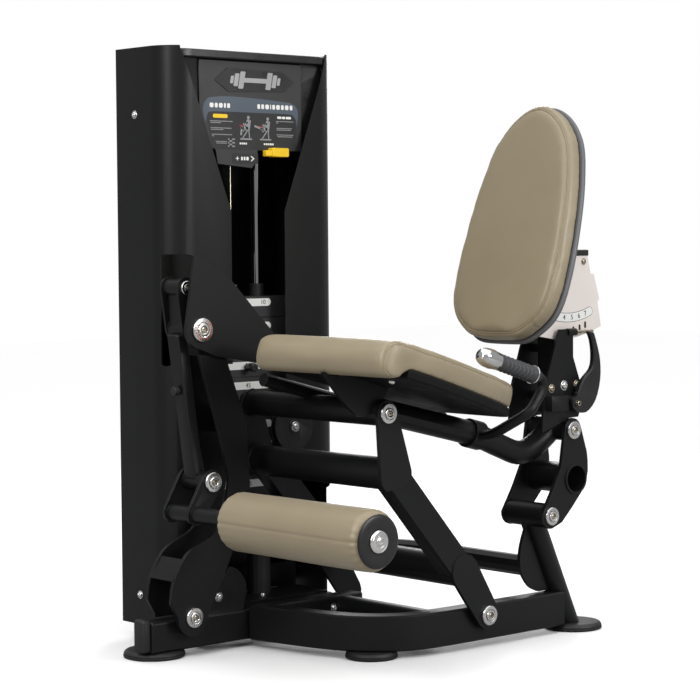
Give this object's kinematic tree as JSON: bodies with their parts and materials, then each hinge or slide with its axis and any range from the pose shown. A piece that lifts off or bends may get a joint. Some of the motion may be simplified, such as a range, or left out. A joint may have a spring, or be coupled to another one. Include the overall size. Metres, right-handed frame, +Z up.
{
  "type": "leg extension machine",
  "caption": "Selectorized leg extension machine: weight tower with guide rods, rocking padded seat and backrest on links, and a swinging arm with a padded ankle roller.",
  "frame": {"origin": "centre of the footprint, on the floor under the feet", "axes": "+X from the ankle roller towards the backrest, +Y from the seat towards the weight tower, +Z up"},
  "size_m": [1.16, 1.014, 1.475],
  "materials": {
    "black_powder_coat": "satin black powder coat",
    "polished_steel": "turned and polished",
    "chrome_plate": "chrome plated",
    "tan_vinyl": "stitched vinyl over foam",
    "black_plastic": "moulded, fine grain",
    "charcoal_placard": "moulded, printed face",
    "yellow_plastic": "moulded",
    "grey_plastic": "moulded shell",
    "stack_iron": "black painted",
    "floor_rubber": "moulded",
    "grip_rubber": "textured",
    "warm_silver_plate": "metallic silver"
  },
  "bodies": {
    "base": {"front_rail": "black_powder_coat", "near_beam": "black_powder_coat", "floor_cross_tube": "black_powder_coat", "tower_base": "black_powder_coat", "rail_end_bumper": "floor_rubber", "foot_left": "floor_rubber", "foot_right": "floor_rubber", "foot_front": "floor_rubber", "foot_rear_left": "floor_rubber", "foot_rear_right": "floor_rubber", "rear_post": "black_powder_coat", "rear_cross_tube": "black_powder_coat", "knee_post": "black_powder_coat", "knee_pivot_plate": "black_powder_coat", "left_shroud": "black_powder_coat", "right_shroud": "black_powder_coat", "rear_panel": "black_powder_coat", "tower_frame": "black_powder_coat", "top_cap": "black_plastic", "placard": "charcoal_placard", "guide_rod_left": "chrome_plate", "guide_rod_right": "chrome_plate", "stack_cushion_left": "floor_rubber", "stack_cushion_right": "floor_rubber", "lower_weight_plates": "stack_iron", "post_base_cap": "polished_steel", "knee_pivot_cap": "polished_steel"},
    "lifted_weights": {"lifted_weight_plates": "stack_iron", "head_plate": "stack_iron", "selector_stem": "polished_steel"},
    "selector_pin": {"selector_pin": "black_plastic"},
    "add_on_lever": {"add_on_weight_lever": "yellow_plastic"},
    "top_pulley": {"top_pulley": "black_plastic"},
    "drive_pulley": {"drive_pulley": "black_plastic"},
    "exercise_arm": {"exercise_arm": "black_powder_coat", "clevis_cap": "polished_steel", "arm_stop_knob": "floor_rubber"},
    "roller_link": {"roller_link": "black_powder_coat", "roller_link_cap": "polished_steel", "roller_hub_cap": "polished_steel"},
    "roller": {"roller_pad": "tan_vinyl", "roller_end_disc": "black_plastic"},
    "front_link": {"front_link": "black_powder_coat", "front_link_top_cap": "polished_steel", "front_link_base_cap": "polished_steel"},
    "carriage": {"carriage_frame": "black_powder_coat", "seat_pan": "black_plastic", "seat_pad": "tan_vinyl", "grip_near": "grip_rubber", "grip_far": "grip_rubber", "backrest_post": "black_powder_coat"},
    "backrest": {"backrest_pad": "tan_vinyl", "back_shell": "grey_plastic", "quadrant_frame": "warm_silver_plate"},
    "release_lever": {"release_lever": "black_plastic"},
    "release_pin": {"release_pin": "polished_steel"},
    "rear_link": {"rear_link": "black_powder_coat", "rear_link_top_cap": "polished_steel", "rear_link_base_cap": "polished_steel"}
  },
  "joints": [
    {"name": "arm_swing", "type": "hinge", "parent": "base", "child": "exercise_arm", "pos_m": [-0.4305, 0, 0.786], "axis": [0, 1, 0], "range_deg": [0, 80]},
    {"name": "roller_link_swing", "type": "hinge", "parent": "exercise_arm", "child": "roller_link", "pos_m": [-0.3955, 0, 0.419], "axis": [0, 1, 0], "range_deg": [0, 35]},
    {"name": "roller_spin", "type": "hinge", "parent": "roller_link", "child": "roller", "pos_m": [-0.443, 0, 0.344], "axis": [0, 1, 0], "continuous": true},
    {"name": "front_link_swing", "type": "hinge", "parent": "base", "child": "front_link", "pos_m": [0.1435, 0, 0.082], "axis": [0, 1, 0], "range_deg": [0, 6.2]},
    {"name": "carriage_tilt", "type": "hinge", "parent": "front_link", "child": "carriage", "pos_m": [-0.1855, 0, 0.594], "axis": [0, 1, 0], "range_deg": [-1, 0]},
    {"name": "rear_link_swing", "type": "hinge", "parent": "base", "child": "rear_link", "pos_m": [0.3495, 0, 0.307], "axis": [0, 1, 0], "range_deg": [0, 13.6]},
    {"name": "weight_lift", "type": "slide", "parent": "base", "child": "lifted_weights", "axis": [0, 0, 1], "range_m": [0, 0.352]},
    {"name": "selector_pin_slide", "type": "slide", "parent": "lifted_weights", "child": "selector_pin", "axis": [0, -1, 0], "range_m": [0, 0.075]},
    {"name": "add_on_lever_slide", "type": "slide", "parent": "base", "child": "add_on_lever", "axis": [1, 0, 0], "range_m": [0, 0.025]},
    {"name": "top_pulley_spin", "type": "hinge", "parent": "base", "child": "top_pulley", "pos_m": [-0.131, 0.395, 1.33], "axis": [0, 1, 0], "range_deg": [0, 402]},
    {"name": "drive_pulley_spin", "type": "hinge", "parent": "base", "child": "drive_pulley", "pos_m": [-0.035, 0.278, 0.523], "axis": [0, 1, 0], "range_deg": [0, 325]},
    {"name": "backrest_swing", "type": "hinge", "parent": "carriage", "child": "backrest", "pos_m": [0.425, 0, 0.935], "axis": [0, 1, 0], "range_deg": [-4, 9]},
    {"name": "release_lever_swing", "type": "hinge", "parent": "carriage", "child": "release_lever", "pos_m": [0.43, 0, 0.585], "axis": [0, 1, 0], "range_deg": [0, 12], "stiffness_Nm_per_rad": 6, "springref_deg": -5.73},
    {"name": "release_pin_slide", "type": "slide", "parent": "carriage", "child": "release_pin", "axis": [1, 0, 0], "range_m": [0, 0.017]}
  ],
  "couplings": [
    {"joint": "front_link_swing", "follows": "arm_swing", "ratio": 0.075},
    {"joint": "carriage_tilt", "follows": "arm_swing", "ratio": -0.0099},
    {"joint": "rear_link_swing", "follows": "arm_swing", "ratio": 0.1649},
    {"joint": "weight_lift", "follows": "arm_swing", "m_per_rad": 0.25},
    {"joint": "top_pulley_spin", "follows": "arm_swing", "ratio": 5},
    {"joint": "drive_pulley_spin", "follows": "arm_swing", "ratio": 4.032},
    {"joint": "release_pin_slide", "follows": "release_lever_swing", "m_per_rad": 0.08}
  ]
}
